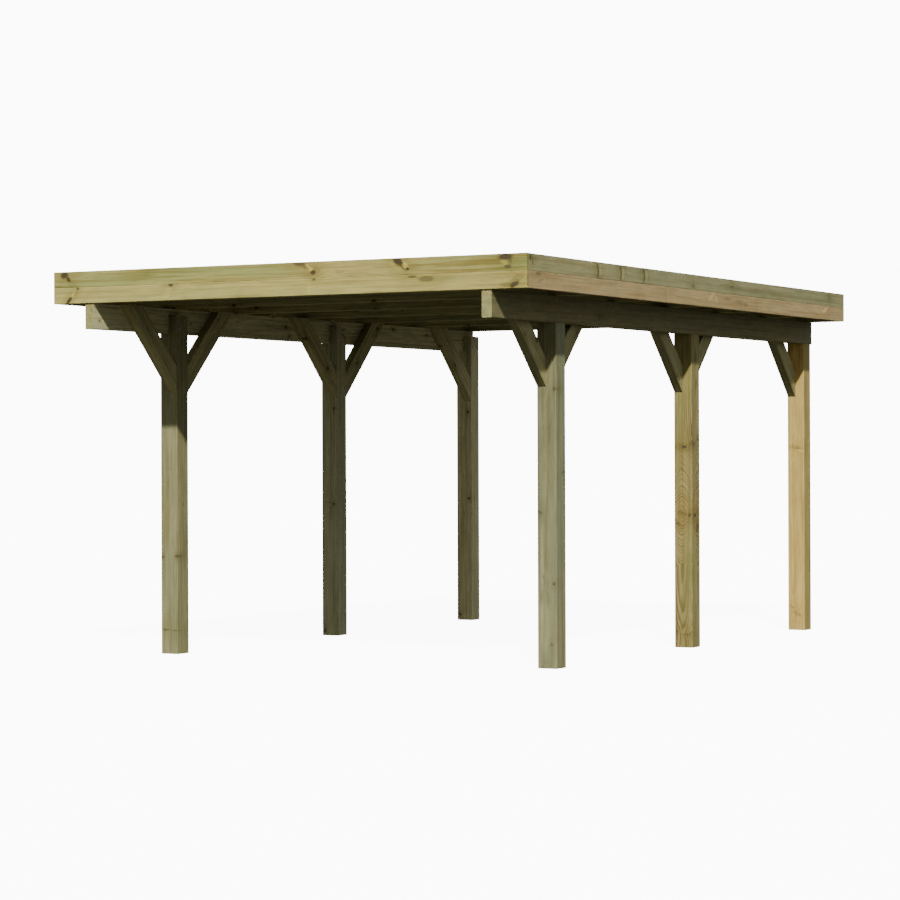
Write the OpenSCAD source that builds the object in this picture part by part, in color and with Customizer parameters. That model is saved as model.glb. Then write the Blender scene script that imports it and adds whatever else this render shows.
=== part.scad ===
// Free-standing timber carport: six posts in two rows, a beam along each row,
// rafters across the beams, and a two-board fascia all round a shallow sheet roof.
// The origin is on the ground under the middle of the roof; +Y is the back, +X the right.

/* [Roof] */
// Width over the side fascias
roof_w = 3000; // [2400:10:3700]
// Depth over the front and back fascias
roof_d = 4500; // [3700:10:5500]
// Front fascia ahead of the front posts
front_overhang = 740; // [560:5:900]
// Back fascia behind the rear posts
rear_overhang = 65; // [55:5:300]
// Side fascia outside the posts
side_overhang = 210; // [60:5:400]

/* [Posts] */
// Side of the square posts
post_side = 115; // [90:1:150]
// Rounding of the posts' long edges
post_edge = 4; // [1:0.5:8]
// Height of the seats that carry the beams
seat_h = 1865; // [1500:5:2400]
// Length of the tongue beside the beam
tongue_l = 105; // [40:1:150]

/* [Beams] */
// Thickness of a beam, let into the posts
beam_t = 58; // [40:1:75]
// Height of a beam
beam_h = 145; // [115:1:200]
// Beam ends short of the roof's front edge
beam_front_inset = 10; // [0:1:60]
// Beam ends short of the roof's back edge
beam_rear_inset = 40; // [0:1:55]

/* [Braces] */
// Thickness of a brace
brace_t = 55; // [38:1:66]
// Width of a brace across its slope
brace_w = 110; // [80:1:140]
// Height of a brace's lower edge on the post
brace_foot_h = 1521; // [1300:1:1600]

/* [Rafters] */
// Thickness of a rafter
rafter_t = 45; // [35:1:70]
// Height of the rafter behind the front fascia
rafter_front_h = 145; // [100:1:150]
// Height of the last rafter at its rear face
rafter_rear_h = 68; // [45:1:90]
// Slot between the last rafter and the back fascia, where the rain runs off
drain_gap = 30; // [20:1:40]
// Width of the cleats that hold the back fascia across the slot
cleat_w = 45; // [30:1:70]

/* [Fascia] */
// Height of one fascia board, of two
board_h = 90; // [80:1:120]
// Thickness of a fascia board
board_t = 22; // [16:1:30]
// Rounding of the sawn timbers' long edges
timber_edge = 3; // [1:0.5:5]

/* [Roof sheets] */
// Ribs on each sheet
rib_count = 7; // [4:1:12]
// Height of a rib
rib_h = 20; // [10:1:30]
// Width of a rib at its foot
rib_foot_w = 70; // [50:1:90]
// Width of a rib at its crown
rib_crown_w = 36; // [20:1:45]
// Thickness of the sheet metal
sheet_t = 0.75; // [0.5:0.05:1.5]
// Sheets clear of the side and front fascias
sheet_side_gap = 5; // [2:1:15]

/* [Hidden] */
$fn = 48;
// Clearance between two sheets where one laps over the other
lap_gap = 0.3;
// A lapped edge stops this far above the valley of the sheet below
lap_lift = 3;
// The sheets lie this far above the rafters' tops
sheet_seat_gap = 0.1;
// The sheets end this far before the last rafter's rear face
sheet_end_gap = 2;
// The cleats stop this far below the fascia's top
cleat_drop = 6;
// A cutting block runs this far past what it cuts
cut_over = 10;
// Braces and the outer ends of their cuts rise at this angle
brace_angle = 45;

timber_green = [0.72, 0.69, 0.50];
timber_pale = [0.80, 0.76, 0.57];
timber_warm = [0.74, 0.65, 0.45];
sheet_grey = [0.33, 0.35, 0.36];

front_y = -roof_d / 2;
back_y = roof_d / 2;
frame_half_w = roof_w / 2 - side_overhang;
bay = (roof_d - front_overhang - rear_overhang - post_side) / 2;
beam_inner_x = frame_half_w - beam_t;
beam_top = seat_h + beam_h;
fascia_inner_x = roof_w / 2 - board_t;

RAFTERS = 7;
SHEETS = 3;
CLEATS = 4;
side_board_l = roof_d - 2 * board_t;
rafter_first_y = front_y + board_t;
rafter_run = side_board_l - drain_gap;
rafter_pitch = (rafter_run - rafter_t) / (RAFTERS - 1);
cleat_pitch = (2 * fascia_inner_x - cleat_w) / (CLEATS - 1);
fall = atan((rafter_front_h - rafter_rear_h) / rafter_run);

sheet_cover = (2 * fascia_inner_x - 2 * sheet_side_gap) / SHEETS;
rib_pitch = sheet_cover / rib_count;
sheet_run = rafter_run - sheet_side_gap - sheet_end_gap;
// How far a lapping rib is spread so that its flanks clear the rib below
flank_angle = atan(2 * rib_h / (rib_foot_w - rib_crown_w));
lap_spread = (sheet_t + lap_gap) / sin(flank_angle) - (sheet_t + lap_gap) / tan(flank_angle);

ROWS = ["left", "right"];
PLACES = ["front", "middle", "rear"];
SIDES = ["front", "back", "left", "right"];
// Each brace stands on a post, by its number from the front, and leans forwards or backwards
BRACES = [[0, "forward"], [0, "backward"], [1, "forward"], [1, "backward"], [2, "forward"]];

function post_name(place, row) = str("post_", place, "_", row);
function brace_name(brace, row) = str("brace_", PLACES[brace[0]], "_", brace[1], "_", row);

function roof_z(y) = beam_top + rafter_front_h - tan(fall) * (y - rafter_first_y);

// A rectangle with its lower left corner at the origin and its corners rounded
module rounded_section(w, h, r) {
    translate([r, 0]) square([w - 2 * r, h]);
    translate([0, r]) square([w, h - 2 * r]);
    for (x = [r, w - r], y = [r, h - r])
        translate([x, y]) circle(r);
}

// A timber along +X from the origin, w deep in Y and h high
module timber_along_x(l, w, h) {
    rotate([90, 0, 90]) linear_extrude(l) rounded_section(w, h, timber_edge);
}

// A timber along +Y from the origin, w wide in X and h high
module timber_along_y(l, w, h) {
    translate([0, l, 0]) rotate([90, 0, 0]) linear_extrude(l) rounded_section(w, h, timber_edge);
}

// Children are drawn for the right row, and mirrored for the left one
module in_row(row) {
    mirror([row == "left" ? 1 : 0, 0, 0]) children();
}

// Front face of the post with this number from the front
function post_y(i) = front_y + front_overhang + i * bay;

// A post with its outer half cut away at the top, which leaves the seat and the tongue
module post(i) {
    color(timber_green)
        difference() {
            translate([frame_half_w - post_side, post_y(i), 0])
                linear_extrude(seat_h + tongue_l) rounded_section(post_side, post_side, post_edge);
            translate([beam_inner_x, post_y(i) - cut_over, seat_h])
                cube([beam_t + cut_over, post_side + 2 * cut_over, tongue_l + cut_over]);
        }
}

module beam() {
    color(timber_pale)
        translate([beam_inner_x, front_y + beam_front_inset, seat_h])
            timber_along_y(roof_d - beam_front_inset - beam_rear_inset, beam_t, beam_h);
}

// A brace in the plane of the tongues, with a plumb foot and a level head at the beam's top
module brace(i, leans) {
    rise = beam_top - brace_foot_h;
    reach = rise / tan(brace_angle);
    uncut_l = rise / sin(brace_angle) + 2 * brace_w;
    color(timber_warm)
        translate([beam_inner_x - brace_t, post_y(i) + (leans == "forward" ? 0 : post_side), brace_foot_h])
            mirror([0, leans == "forward" ? 0 : 1, 0])
                intersection() {
                    rotate([-brace_angle, 0, 0])
                        translate([0, brace_w - uncut_l, 0])
                            timber_along_y(uncut_l, brace_t, brace_w);
                    translate([-cut_over, -reach, 0]) cube([brace_t + 2 * cut_over, reach, rise]);
                }
}

// A rafter across both beams, its top on the slope of the roof
module rafter(i) {
    y = rafter_first_y + i * rafter_pitch;
    color(timber_warm)
        difference() {
            translate([-fascia_inner_x, y, beam_top])
                timber_along_x(2 * fascia_inner_x, rafter_t, rafter_front_h + rafter_t);
            translate([-roof_w / 2, y, roof_z(y)])
                rotate([-fall, 0, 0])
                    translate([0, -cut_over, 0]) cube([roof_w, rafter_t + 2 * cut_over, 2 * rafter_front_h]);
        }
}

// An upright cleat in the slot, between the last rafter and the two back boards
module back_cleat(i) {
    color(timber_warm)
        translate([i * cleat_pitch - fascia_inner_x, back_y - board_t - drain_gap, beam_top])
            linear_extrude(2 * board_h - cleat_drop) rounded_section(cleat_w, drain_gap, timber_edge);
}

// One fascia board, counted from the bottom; front and back boards cover the side boards' ends
module fascia_board(side, level) {
    color(side == "front" || side == "back" ? timber_pale : timber_green)
        translate([0, 0, beam_top + level * board_h])
            if (side == "front" || side == "back") {
                translate([-roof_w / 2, side == "front" ? front_y : back_y - board_t, 0])
                    timber_along_x(roof_w, board_t, board_h);
            } else {
                translate([side == "left" ? -roof_w / 2 : fascia_inner_x, rafter_first_y, 0])
                    timber_along_y(side_board_l, board_t, board_h);
            }
}

// The upper line of a rib centred on x, from its left foot to its right foot
function rib(x, foot_w, crown_w, h, lift) = [
    [x - foot_w / 2, lift], [x - crown_w / 2, h + lift],
    [x + crown_w / 2, h + lift], [x + foot_w / 2, lift]
];

// The end rib that lies over the next sheet's first rib, and stops short of its valley
function lapping_rib(x) =
    let (
        up = sheet_t + lap_gap,
        foot = rib_foot_w / 2 + up / tan(flank_angle) + lap_spread,
        crown = rib_crown_w / 2 + lap_spread,
        slope = (rib_h + up) / (foot - crown)
    )
    [[x - foot, 0], [x - crown, rib_h + up], [x + crown, rib_h + up],
     [x + foot - lap_lift / slope, lap_lift]];

// A sheet's lower line from left to right
function sheet_line(first, last) = concat(
    first ? [[0, 0]] : [],
    [for (i = [0 : rib_count - 1]) each rib((i + 0.5) * rib_pitch, rib_foot_w, rib_crown_w, rib_h, 0)],
    last ? [[sheet_cover, 0]] : lapping_rib(sheet_cover + rib_pitch / 2)
);

// Unit normal, pointing up, of the line from a to b
function up_normal(a, b) = [a.y - b.y, b.x - a.x] / norm(b - a);

// The point above corner i of a line where both neighbouring stretches are t thick
function offset_point(line, i, t) =
    let (
        n0 = up_normal(line[max(i - 1, 0)], line[max(i, 1)]),
        last = len(line) - 1,
        n1 = up_normal(line[min(i, last - 1)], line[min(i + 1, last)])
    )
    line[i] + t * (n0 + n1) / (1 + n0 * n1);

module roof_sheet(i) {
    line = sheet_line(i == 0, i == SHEETS - 1);
    above = [for (k = [len(line) - 1 : -1 : 0]) offset_point(line, k, sheet_t)];
    length = sheet_run / cos(fall);
    y = rafter_first_y + sheet_side_gap;
    color(sheet_grey)
        translate([i * sheet_cover - fascia_inner_x + sheet_side_gap, y, roof_z(y) + sheet_seat_gap])
            rotate([-fall, 0, 0])
                translate([0, length, 0])
                    rotate([90, 0, 0]) linear_extrude(length) polygon(concat(line, above));
}

for (row = ROWS, i = [0 : len(PLACES) - 1])
    in_row(row) post(i);
for (row = ROWS)
    in_row(row) beam();
for (row = ROWS, b = BRACES)
    in_row(row) brace(b[0], b[1]);
for (i = [1 : RAFTERS])
    rafter(i - 1);
for (i = [1 : CLEATS])
    back_cleat(i - 1);
for (side = SIDES) {
    fascia_board(side, 0);
    fascia_board(side, 1);
}
for (i = [1 : SHEETS])
    roof_sheet(i - 1);
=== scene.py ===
import math

import bpy
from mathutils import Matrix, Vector


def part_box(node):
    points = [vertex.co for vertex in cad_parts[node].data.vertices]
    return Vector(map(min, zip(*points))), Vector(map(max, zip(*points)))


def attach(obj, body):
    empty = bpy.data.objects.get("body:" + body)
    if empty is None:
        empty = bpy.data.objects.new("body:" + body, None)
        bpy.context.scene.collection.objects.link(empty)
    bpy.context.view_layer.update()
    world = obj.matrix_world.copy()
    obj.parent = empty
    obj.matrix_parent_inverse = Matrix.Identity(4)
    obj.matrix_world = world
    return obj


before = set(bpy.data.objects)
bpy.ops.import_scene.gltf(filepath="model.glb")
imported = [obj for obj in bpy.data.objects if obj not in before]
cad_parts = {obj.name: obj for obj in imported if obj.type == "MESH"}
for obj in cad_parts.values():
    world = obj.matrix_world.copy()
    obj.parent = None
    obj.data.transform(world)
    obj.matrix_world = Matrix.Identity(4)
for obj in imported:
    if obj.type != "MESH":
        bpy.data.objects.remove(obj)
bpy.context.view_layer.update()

MM = 0.001
BRACE_WIDTH = 110 * MM
RIBS_PER_SHEET = 7
SHEET_TOP = 0.9 * MM  # a sheet's upper face above the rafter under it

# ---------------------------------------------------------------- names from the frame

POST_PLACES = ["front", "middle", "rear"]
SIDES = ["left", "right"]
RAFTERS = [f"rafter_{i}" for i in range(1, 8)]
CLEATS = [f"back_cleat_{i}" for i in range(1, 5)]
SHEETS = [f"roof_sheet_{i}" for i in range(1, 4)]
BRACES = [
    f"brace_{place}_{side}"
    for side in SIDES
    for place in ("front_forward", "front_backward", "middle_forward", "middle_backward", "rear_forward")
]

# Turns that bring a board's own X axis onto its grain: across, along, upright, and the two braces.
GRAIN_TURNS = {
    "across": (0, 0, 0),
    "along": (0, 0, math.radians(90)),
    "upright": (0, math.radians(-90), math.radians(90)),
    "rising back": (0, math.radians(-45), math.radians(90)),
    "rising forward": (0, math.radians(-135), math.radians(90)),
}
GRAIN_LINES = {
    "across": Vector((1, 0, 0)),
    "along": Vector((0, 1, 0)),
    "upright": Vector((0, 0, 1)),
    "rising back": Vector((0, 1, 1)).normalized(),
    "rising forward": Vector((0, -1, 1)).normalized(),
}


# ---------------------------------------------------------------- small node helpers


def fill(tree, socket, value):
    """Wires a socket to another one, or gives it a plain value."""
    if isinstance(value, bpy.types.NodeSocket):
        tree.links.new(value, socket)
    elif value is not None:
        socket.default_value = value


def put(tree, kind, values=None, **options):
    """Adds a node with its options set and its inputs filled."""
    node = tree.nodes.new(kind)
    for name, option in options.items():
        setattr(node, name, option)
    for name, value in (values or {}).items():
        fill(tree, node.inputs[name], value)
    return node


def maths(tree, operation, first, second=None, third=None, clamp=False):
    """Adds a math node and gives its result."""
    node = put(tree, "ShaderNodeMath", {0: first, 1: second, 2: third}, operation=operation, use_clamp=clamp)
    return node.outputs[0]


def vectors(tree, operation, first, second=None, result="Vector"):
    """Adds a vector math node and gives its vector, or its number where result is Value."""
    node = put(tree, "ShaderNodeVectorMath", {0: first, 1: second}, operation=operation)
    return node.outputs[result]


def stretch(tree, vector, scale):
    """Multiplies a vector or a colour axis by axis."""
    return vectors(tree, "MULTIPLY", vector, scale)


def ease(tree, value, low, high, from_value=0.0, to_value=1.0):
    """A smooth step from one value to another while the input goes from low to high."""
    ranges = {"Value": value, "From Min": low, "From Max": high, "To Min": from_value, "To Max": to_value}
    return put(tree, "ShaderNodeMapRange", ranges, interpolation_type="SMOOTHSTEP").outputs["Result"]


def blend(tree, factor, first, second):
    """Mixes two colours."""
    node = put(tree, "ShaderNodeMix", data_type="RGBA", blend_type="MIX")
    fill(tree, node.inputs[0], factor)
    fill(tree, node.inputs[6], first)
    fill(tree, node.inputs[7], second)
    return node.outputs[2]


def shade(tree, colour, amount):
    """Multiplies a colour by a number."""
    return stretch(tree, colour, join(tree, amount, amount, amount))


def cloud(tree, vector, detail=2.0, roughness=0.5, output="Fac"):
    """Soft noise over an already stretched vector."""
    values = {"Vector": vector, "Scale": 1.0, "Detail": detail, "Roughness": roughness}
    return put(tree, "ShaderNodeTexNoise", values).outputs[output]


def split(tree, vector):
    """The X, Y and Z of a vector."""
    return put(tree, "ShaderNodeSeparateXYZ", {0: vector}).outputs


def join(tree, x=0.0, y=0.0, z=0.0):
    """A vector from three numbers."""
    return put(tree, "ShaderNodeCombineXYZ", {0: x, 1: y, 2: z}).outputs[0]


def new_group(name, inputs, outputs):
    """An empty shader group with its named sockets. Returns the tree and what its inputs give."""
    tree = bpy.data.node_groups.new(name, "ShaderNodeTree")
    for socket_name, kind, value in inputs:
        socket = tree.interface.new_socket(socket_name, in_out="INPUT", socket_type=f"NodeSocket{kind}")
        if value is not None:
            socket.default_value = value
    for socket_name, kind in outputs:
        tree.interface.new_socket(socket_name, in_out="OUTPUT", socket_type=f"NodeSocket{kind}")
    return tree, tree.nodes.new("NodeGroupInput").outputs


def close_group(tree, results):
    """Wires a group's outputs and returns its tree."""
    ends = tree.nodes.new("NodeGroupOutput")
    for name, value in results.items():
        fill(tree, ends.inputs[name], value)
    return tree


def place_group(tree, group, values):
    """Places a shared group in a tree with its inputs filled, and returns what it gives."""
    node = tree.nodes.new("ShaderNodeGroup")
    node.node_tree = group
    for name, value in values.items():
        fill(tree, node.inputs[name], value)
    return node.outputs


def new_material(name):
    """An empty material with its Principled shader. Returns the material, its tree and the shader."""
    material = bpy.data.materials.new(name)
    material.use_nodes = True
    tree = material.node_tree
    tree.nodes.clear()
    shader = tree.nodes.new("ShaderNodeBsdfPrincipled")
    out = tree.nodes.new("ShaderNodeOutputMaterial")
    tree.links.new(shader.outputs["BSDF"], out.inputs["Surface"])
    return material, tree, shader


# ---------------------------------------------------------------- groups the timbers share

# What the knots do to the wood: dark hearts, stained grain round them, rings pushed aside, pale branch wood.
KNOT_EFFECTS = ["Knot", "Halo", "Bend", "Pale"]
KNOT_INPUTS = [(name, "Float", 0.0) for name in KNOT_EFFECTS]
KNOT_OUTPUTS = [(name, "Float") for name in KNOT_EFFECTS]

# Tints that a timber's own colour is multiplied by, and the two browns of a knot's heart.
BROWN_STREAK = (0.78, 0.68, 0.52)
BRANCH_WOOD = (1.75, 1.68, 1.45)
KNOT_STAIN = (0.62, 0.60, 0.42)
RUBBED_EDGE = (1.22, 1.2, 1.16)
KNOT_DARK = (0.030, 0.026, 0.013, 1)
KNOT_WARM = (0.115, 0.092, 0.044, 1)


def knot_marks(tree, distance, reach, strength, before, width):
    """What a knot adds to the wood: its dark heart, the stained grain round it, and the rings pushed aside.
    A negative strength gives a pale spike of branch wood, and none at all only pushes the rings."""
    dark = maths(tree, "MAXIMUM", strength, 0.0)
    light = maths(tree, "MAXIMUM", maths(tree, "MULTIPLY", strength, -1.0), 0.0)
    shape = ease(tree, distance, 1.15, 0.7)
    rim = maths(tree, "MULTIPLY", ease(tree, distance, 0.7, 1.0), ease(tree, distance, 1.6, 1.05))
    stain = maths(tree, "MULTIPLY", ease(tree, reach, 1.9, 0.3), 0.6)
    halo = maths(tree, "MULTIPLY", maths(tree, "MAXIMUM", rim, stain), dark)
    push = maths(tree, "MULTIPLY", maths(tree, "EXPONENT", maths(tree, "MULTIPLY", reach, -1.6)), width)
    return {
        "Knot": maths(tree, "MAXIMUM", before["Knot"], maths(tree, "MULTIPLY", shape, dark)),
        "Halo": maths(tree, "MAXIMUM", before["Halo"], halo),
        "Bend": maths(tree, "ADD", before["Bend"], push),
        "Pale": maths(tree, "MAXIMUM", before["Pale"], maths(tree, "MULTIPLY", shape, light)),
    }


def make_knot_group():
    """One knot at a chosen place: an ellipsoid in the object's own coordinates, ragged at its rim."""
    tree, given = new_group(
        "single knot",
        [
            ("Position", "Vector", None),
            ("Centre", "Vector", (0, 0, 0)),
            ("Turn", "Vector", (0, 0, 0)),
            ("Half size", "Vector", (0.01, 0.01, 0.01)),
            ("Reach", "Vector", (0.03, 0.03, 0.03)),
            ("Strength", "Float", 1.0),
            ("Width", "Float", 0.01),
            *KNOT_INPUTS,
        ],
        KNOT_OUTPUTS,
    )
    ragged = maths(tree, "SUBTRACT", cloud(tree, stretch(tree, given["Position"], (95, 95, 95)), 2.0), 0.5)

    def measure(half):
        values = {"Vector": given["Position"], "Location": given["Centre"], "Rotation": given["Turn"]}
        values["Scale"] = half
        place = put(tree, "ShaderNodeMapping", values, vector_type="TEXTURE")
        return vectors(tree, "LENGTH", place.outputs[0], result="Value")

    distance = maths(tree, "ADD", measure(given["Half size"]), maths(tree, "MULTIPLY", ragged, 0.5))
    reach = measure(given["Reach"])
    return close_group(tree, knot_marks(tree, distance, reach, given["Strength"], given, given["Width"]))


def make_scattered_knots_group():
    """Small branches running out from the pith, strewn along a board."""
    tree, given = new_group(
        "scattered knots",
        [
            ("Position", "Vector", None),
            ("Pith", "Vector", (0, 0, 0)),
            ("Spacing", "Float", 0.5),
            ("Size", "Float", 0.012),
            ("Seed", "Float", 0.0),
            *KNOT_INPUTS,
        ],
        KNOT_OUTPUTS,
    )
    along = split(tree, given["Position"])["X"]
    across = split(tree, vectors(tree, "SUBTRACT", given["Position"], given["Pith"]))
    angle = maths(tree, "ARCTAN2", across["Z"], across["Y"])
    radius = vectors(tree, "LENGTH", join(tree, 0.0, across["Y"], across["Z"]), result="Value")
    step = maths(tree, "ADD", maths(tree, "DIVIDE", along, given["Spacing"]), given["Seed"])
    turn = maths(tree, "ADD", maths(tree, "MULTIPLY", angle, 0.9), given["Seed"])
    cells = put(
        tree,
        "ShaderNodeTexVoronoi",
        {"Vector": join(tree, step, turn), "Scale": 1.0, "Randomness": 0.9},
        voronoi_dimensions="2D",
    )
    away = split(tree, vectors(tree, "SUBTRACT", join(tree, step, turn), cells.outputs["Position"]))
    chance = split(tree, cells.outputs["Color"])
    present = maths(tree, "GREATER_THAN", chance["X"], 0.5)
    size = maths(tree, "MULTIPLY", given["Size"], ease(tree, chance["Y"], 0.0, 1.0, 0.35, 1.3))
    off_along = maths(tree, "DIVIDE", maths(tree, "MULTIPLY", away["X"], given["Spacing"]), size)
    round_pith = maths(tree, "DIVIDE", radius, 0.9)
    off_across = maths(tree, "DIVIDE", maths(tree, "MULTIPLY", away["Y"], round_pith), size)
    ragged = maths(tree, "SUBTRACT", cloud(tree, stretch(tree, given["Position"], (110, 110, 110)), 2.0), 0.5)
    near_along = maths(tree, "DIVIDE", off_along, 1.25)
    near = vectors(tree, "LENGTH", join(tree, near_along, off_across), result="Value")
    far_along = maths(tree, "DIVIDE", off_along, 5.0)
    far_across = maths(tree, "DIVIDE", off_across, 2.2)
    far = vectors(tree, "LENGTH", join(tree, far_along, far_across), result="Value")
    distance = maths(tree, "ADD", near, maths(tree, "MULTIPLY", ragged, 0.45))
    marks = knot_marks(tree, distance, far, present, given, maths(tree, "MULTIPLY", size, present))
    return close_group(tree, marks)


def make_timber_group():
    """Solid pine: rings round a pith, fibres, treatment tint, knots, cut ends and rubbed edges."""
    tree, given = new_group(
        "treated pine",
        [
            ("Position", "Vector", None),
            ("Half size", "Vector", (1, 0.05, 0.05)),
            ("Pith", "Vector", (0, 0, 0)),
            ("Pith lean", "Vector", (0, 0, 0)),
            ("Ring width", "Float", 0.006),
            ("Ring depth", "Float", 0.5),
            ("Pale wood", "Color", (0.5, 0.45, 0.25, 1)),
            ("Late wood", "Color", (0.33, 0.26, 0.12, 1)),
            ("Stain", "Color", (0.36, 0.37, 0.2, 1)),
            ("Stain amount", "Float", 0.6),
            ("Heart tint", "Color", (1, 0.92, 0.85, 1)),
            ("Heart radius", "Float", 0.03),
            ("Cut end", "Float", 0.0),
            ("End tint", "Color", (0.75, 0.73, 0.68, 1)),
            ("Streaks", "Float", 0.5),
            *KNOT_INPUTS,
            ("Seed", "Float", 0.0),
        ],
        [("Colour", "Color"), ("Roughness", "Float"), ("Height", "Float")],
    )
    position = given["Position"]
    shift = join(tree, *[maths(tree, "MULTIPLY", given["Seed"], share) for share in (3.1, 1.7, 2.3)])
    seeded = vectors(tree, "ADD", position, shift)
    along = split(tree, position)["X"]

    # the pith wanders and leans along the board, which draws the arches on a sawn face
    drift = maths(tree, "ADD", maths(tree, "MULTIPLY", along, 0.8), given["Seed"])
    wander = cloud(tree, join(tree, drift), 1.5, output="Color")
    wander = stretch(tree, vectors(tree, "SUBTRACT", wander, (0.5, 0.5, 0.5)), (0.05, 0.05, 0.05))
    lean = stretch(tree, given["Pith lean"], join(tree, along, along, along))
    centre = vectors(tree, "ADD", vectors(tree, "ADD", given["Pith"], lean), wander)
    from_pith = stretch(tree, vectors(tree, "SUBTRACT", position, centre), (0, 1, 1))
    radius = vectors(tree, "LENGTH", from_pith, result="Value")
    wave = maths(tree, "SUBTRACT", cloud(tree, stretch(tree, seeded, (2.2, 16, 16)), 2.0), 0.5)
    ripple = maths(tree, "SUBTRACT", cloud(tree, stretch(tree, seeded, (9, 90, 90)), 2.0), 0.5)
    bent = maths(tree, "ADD", radius, maths(tree, "MULTIPLY", wave, 0.012))
    bent = maths(tree, "ADD", bent, maths(tree, "MULTIPLY", ripple, 0.0016))
    bent = maths(tree, "ADD", bent, given["Bend"])
    years = join(tree, maths(tree, "MULTIPLY", bent, 70), given["Seed"])
    uneven = maths(tree, "MULTIPLY", cloud(tree, years, 1.0), 1.6)
    ring = maths(tree, "ADD", maths(tree, "DIVIDE", bent, given["Ring width"]), uneven)
    within = maths(tree, "FRACT", ring)
    late = maths(tree, "MULTIPLY", ease(tree, within, 0.25, 0.85), ease(tree, within, 1.0, 0.9))
    which = join(tree, maths(tree, "MULTIPLY", maths(tree, "FLOOR", ring), 0.61), given["Seed"])
    late = maths(tree, "MULTIPLY", late, ease(tree, cloud(tree, which, 0.0), 0.3, 0.7, 0.35, 1.0))

    # fibres and tint, stretched along the grain
    fibre = cloud(tree, stretch(tree, seeded, (6, 320, 320)), 3.0, 0.6)
    streak = cloud(tree, stretch(tree, seeded, (1.5, 60, 60)), 4.0, 0.55)
    patch = cloud(tree, stretch(tree, seeded, (0.9, 11, 11)), 3.0, 0.55)
    mottle = cloud(tree, stretch(tree, seeded, (7, 24, 24)), 3.0, 0.55)

    ring_mark = maths(tree, "MULTIPLY", late, given["Ring depth"])
    colour = blend(tree, ring_mark, given["Pale wood"], given["Late wood"])
    heart = ease(tree, maths(tree, "SUBTRACT", bent, given["Heart radius"]), 0.006, -0.006)
    colour = blend(tree, heart, colour, stretch(tree, colour, given["Heart tint"]))
    stain = maths(tree, "MULTIPLY", ease(tree, patch, 0.38, 0.62), given["Stain amount"])
    colour = blend(tree, stain, colour, given["Stain"])
    browner = maths(tree, "MULTIPLY", ease(tree, streak, 0.5, 0.66), given["Streaks"])
    colour = blend(tree, browner, colour, stretch(tree, colour, BROWN_STREAK))
    colour = shade(tree, colour, ease(tree, streak, 0.25, 0.75, 1.1, 0.9))
    colour = shade(tree, colour, ease(tree, mottle, 0.2, 0.8, 0.88, 1.1))
    colour = shade(tree, colour, ease(tree, fibre, 0.25, 0.75, 0.86, 1.1))

    # resin flecks and fine drying cracks
    fleck = ease(tree, cloud(tree, stretch(tree, seeded, (38, 700, 700)), 1.0), 0.7, 0.78)
    colour = shade(tree, colour, maths(tree, "SUBTRACT", 1.0, maths(tree, "MULTIPLY", fleck, 0.3)))
    contour = maths(tree, "SUBTRACT", cloud(tree, stretch(tree, seeded, (1.1, 48, 48)), 1.0), 0.5)
    crack_line = maths(tree, "ABSOLUTE", contour)
    crack = maths(tree, "MULTIPLY", ease(tree, crack_line, 0.006, 0.001), ease(tree, mottle, 0.58, 0.66))
    colour = shade(tree, colour, maths(tree, "SUBTRACT", 1.0, maths(tree, "MULTIPLY", crack, 0.7)))

    # knots, and pale branch wood cut along its length
    colour = blend(tree, given["Pale"], colour, stretch(tree, colour, BRANCH_WOOD))
    colour = blend(tree, given["Halo"], colour, stretch(tree, colour, KNOT_STAIN))
    colour = blend(tree, given["Knot"], colour, blend(tree, mottle, KNOT_DARK, KNOT_WARM))

    # cut ends take the treatment differently from the faces; edges are rubbed paler
    colour = blend(tree, given["Cut end"], colour, stretch(tree, colour, given["End tint"]))
    past_face = vectors(tree, "SUBTRACT", vectors(tree, "ABSOLUTE", position), given["Half size"])
    past_face = split(tree, past_face)
    near_end, near_side, near_top = [ease(tree, past_face[axis], -0.007, -0.0005) for axis in ("X", "Y", "Z")]
    edge = maths(tree, "MULTIPLY", near_end, near_side)
    edge = maths(tree, "MULTIPLY_ADD", near_side, near_top, edge)
    edge = maths(tree, "MULTIPLY_ADD", near_end, near_top, edge, clamp=True)
    worn = maths(tree, "MULTIPLY", edge, ease(tree, mottle, 0.4, 0.6, 0.1, 0.45))
    colour = blend(tree, worn, colour, stretch(tree, colour, RUBBED_EDGE))

    roughness = ease(tree, fibre, 0.2, 0.8, 0.62, 0.78)
    roughness = maths(tree, "MULTIPLY_ADD", late, -0.07, roughness)
    roughness = maths(tree, "MULTIPLY_ADD", given["Knot"], -0.14, roughness)
    roughness = maths(tree, "MULTIPLY_ADD", given["Cut end"], 0.14, roughness, clamp=True)

    height = maths(tree, "MULTIPLY", late, 0.3)
    height = maths(tree, "MULTIPLY_ADD", fibre, 0.45, height)
    height = maths(tree, "MULTIPLY_ADD", streak, 0.35, height)
    height = maths(tree, "MULTIPLY_ADD", given["Knot"], 0.35, height)
    height = maths(tree, "MULTIPLY_ADD", crack, -0.8, height)
    height = maths(tree, "MULTIPLY_ADD", fleck, -0.15, height)
    return close_group(tree, {"Colour": colour, "Roughness": roughness, "Height": height})


SINGLE_KNOT = make_knot_group()
SCATTERED_KNOTS = make_scattered_knots_group()
TREATED_PINE = make_timber_group()


# ---------------------------------------------------------------- knots placed one by one


def knot(face, along, up, half_along, half_across, turn=0.0, strength=1.0, reach=None, width=None):
    """A knot on a face: its place, half its size along and up the face, its turn in degrees, its strength.
    reach is half the size of the grain that it disturbs, and width how far it pushes the rings aside."""
    return {
        "face": face,
        "along": along,
        "up": up,
        "half": (half_along, half_across),
        "turn": math.radians(turn),
        "strength": strength,
        "reach": reach,
        "width": width,
    }


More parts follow.
